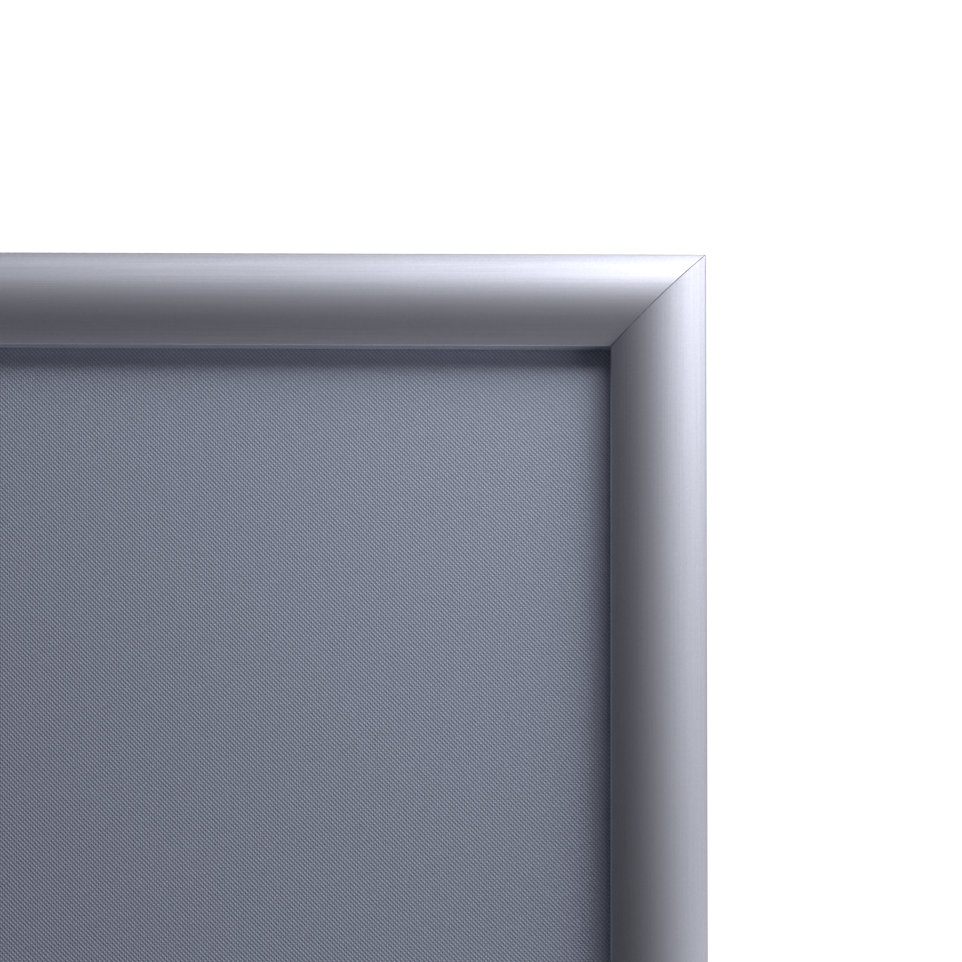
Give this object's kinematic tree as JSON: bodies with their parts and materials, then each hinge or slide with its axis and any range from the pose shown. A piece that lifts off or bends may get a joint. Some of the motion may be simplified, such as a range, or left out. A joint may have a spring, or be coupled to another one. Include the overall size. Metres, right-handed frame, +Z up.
{
  "type": "sandwich board",
  "caption": "Folding A-frame pavement sign with silver snap-open poster frames, embossed grey panels, side stays and rubber feet.",
  "frame": {"origin": "on the floor, under the hinge axis, midway between the feet", "axes": "+Z up, +X to the right as seen facing the front panel, which faces -Y; the rear panel faces +Y"},
  "size_m": [0.638, 0.4968, 0.8731],
  "materials": {
    "anodised_cover": "satin",
    "anodised_rail": "satin",
    "spring_steel": "brushed",
    "zinc_steel": "satin",
    "dark_screw": "satin",
    "grey_panel": "matt, finely embossed",
    "clear_sheet": "matt clear",
    "hinge_alloy": "satin",
    "black_rubber": "matt",
    "rivet_alloy": "satin",
    "screw_steel": "satin",
    "pin_steel": "satin"
  },
  "bodies": {
    "front_frame": {"front_top_rail": "anodised_rail", "front_bottom_rail": "anodised_rail", "front_left_rail": "anodised_rail", "front_right_rail": "anodised_rail", "front_top_springs": "spring_steel", "front_bottom_springs": "spring_steel", "front_left_springs": "spring_steel", "front_right_springs": "spring_steel", "front_corner_keys": "zinc_steel", "front_corner_screws": "dark_screw", "front_back_panel": "grey_panel", "front_clear_sheet": "clear_sheet", "front_left_hinge_leaf": "hinge_alloy", "front_left_stay_bracket": "zinc_steel", "front_left_foot": "black_rubber", "front_right_hinge_leaf": "hinge_alloy", "front_right_stay_bracket": "zinc_steel", "front_right_foot": "black_rubber", "front_hinge_rivets": "rivet_alloy", "front_stay_rivets": "rivet_alloy", "front_foot_screws": "screw_steel", "left_hinge_pin": "pin_steel", "left_stay_pivot": "pin_steel", "right_hinge_pin": "pin_steel", "right_stay_pivot": "pin_steel"},
    "rear_frame": {"rear_top_rail": "anodised_rail", "rear_bottom_rail": "anodised_rail", "rear_left_rail": "anodised_rail", "rear_right_rail": "anodised_rail", "rear_top_springs": "spring_steel", "rear_bottom_springs": "spring_steel", "rear_left_springs": "spring_steel", "rear_right_springs": "spring_steel", "rear_corner_keys": "zinc_steel", "rear_corner_screws": "dark_screw", "rear_back_panel": "grey_panel", "rear_clear_sheet": "clear_sheet", "rear_left_hinge_leaf": "hinge_alloy", "rear_left_stay_track": "zinc_steel", "rear_left_foot": "black_rubber", "rear_right_hinge_leaf": "hinge_alloy", "rear_right_stay_track": "zinc_steel", "rear_right_foot": "black_rubber", "rear_hinge_rivets": "rivet_alloy", "rear_stay_rivets": "rivet_alloy", "rear_foot_screws": "screw_steel"},
    "front_top_flap": {"front_top_cover": "anodised_cover"},
    "front_bottom_flap": {"front_bottom_cover": "anodised_cover"},
    "front_left_flap": {"front_left_cover": "anodised_cover"},
    "front_right_flap": {"front_right_cover": "anodised_cover"},
    "rear_top_flap": {"rear_top_cover": "anodised_cover"},
    "rear_bottom_flap": {"rear_bottom_cover": "anodised_cover"},
    "rear_left_flap": {"rear_left_cover": "anodised_cover"},
    "rear_right_flap": {"rear_right_cover": "anodised_cover"},
    "left_stay_bar": {"left_stay": "zinc_steel", "left_slide_pin": "pin_steel"},
    "right_stay_bar": {"right_stay": "zinc_steel", "right_slide_pin": "pin_steel"}
  },
  "joints": [
    {"name": "frame_fold", "type": "hinge", "parent": "front_frame", "child": "rear_frame", "pos_m": [0, 0, 0.85808], "axis": [-1, 0, 0], "range_deg": [0, 30]},
    {"name": "front_top_flip", "type": "hinge", "parent": "front_frame", "child": "front_top_flap", "pos_m": [0, -0.0132, 0.86907], "axis": [-1, 0, 0], "range_deg": [0, 80], "stiffness_Nm_per_rad": 0.15, "springref_deg": -28.65},
    {"name": "front_bottom_flip", "type": "hinge", "parent": "front_frame", "child": "front_bottom_flap", "pos_m": [0, -0.24081, 0.01964], "axis": [1, 0, 0], "range_deg": [0, 80], "stiffness_Nm_per_rad": 0.15, "springref_deg": -28.65},
    {"name": "front_left_flip", "type": "hinge", "parent": "front_frame", "child": "front_left_flap", "pos_m": [-0.3162, -0.12701, 0.44435], "axis": [0, -0.2588, -0.9659], "range_deg": [0, 80], "stiffness_Nm_per_rad": 0.15, "springref_deg": -28.65},
    {"name": "front_right_flip", "type": "hinge", "parent": "front_frame", "child": "front_right_flap", "pos_m": [0.3162, -0.12701, 0.44435], "axis": [0, 0.2588, 0.9659], "range_deg": [0, 80], "stiffness_Nm_per_rad": 0.15, "springref_deg": -28.65},
    {"name": "rear_top_flip", "type": "hinge", "parent": "rear_frame", "child": "rear_top_flap", "pos_m": [0, 0.0132, 0.86907], "axis": [1, 0, 0], "range_deg": [0, 80], "stiffness_Nm_per_rad": 0.15, "springref_deg": -28.65},
    {"name": "rear_bottom_flip", "type": "hinge", "parent": "rear_frame", "child": "rear_bottom_flap", "pos_m": [0, 0.24081, 0.01964], "axis": [-1, 0, 0], "range_deg": [0, 80], "stiffness_Nm_per_rad": 0.15, "springref_deg": -28.65},
    {"name": "rear_left_flip", "type": "hinge", "parent": "rear_frame", "child": "rear_left_flap", "pos_m": [-0.3162, 0.12701, 0.44435], "axis": [0, -0.2588, 0.9659], "range_deg": [0, 80], "stiffness_Nm_per_rad": 0.15, "springref_deg": -28.65},
    {"name": "rear_right_flip", "type": "hinge", "parent": "rear_frame", "child": "rear_right_flap", "pos_m": [0.3162, 0.12701, 0.44435], "axis": [0, 0.2588, -0.9659], "range_deg": [0, 80], "stiffness_Nm_per_rad": 0.15, "springref_deg": -28.65},
    {"name": "left_stay_swing", "type": "hinge", "parent": "front_frame", "child": "left_stay_bar", "pos_m": [-0.289, -0.08023, 0.55864], "axis": [-1, 0, 0], "range_deg": [0, 60.05]},
    {"name": "right_stay_swing", "type": "hinge", "parent": "front_frame", "child": "right_stay_bar", "pos_m": [0.289, -0.08023, 0.55864], "axis": [-1, 0, 0], "range_deg": [0, 60.05]}
  ],
  "couplings": [
    {"joint": "left_stay_swing", "follows": "frame_fold", "ratio": 2},
    {"joint": "right_stay_swing", "follows": "frame_fold", "ratio": 2}
  ]
}
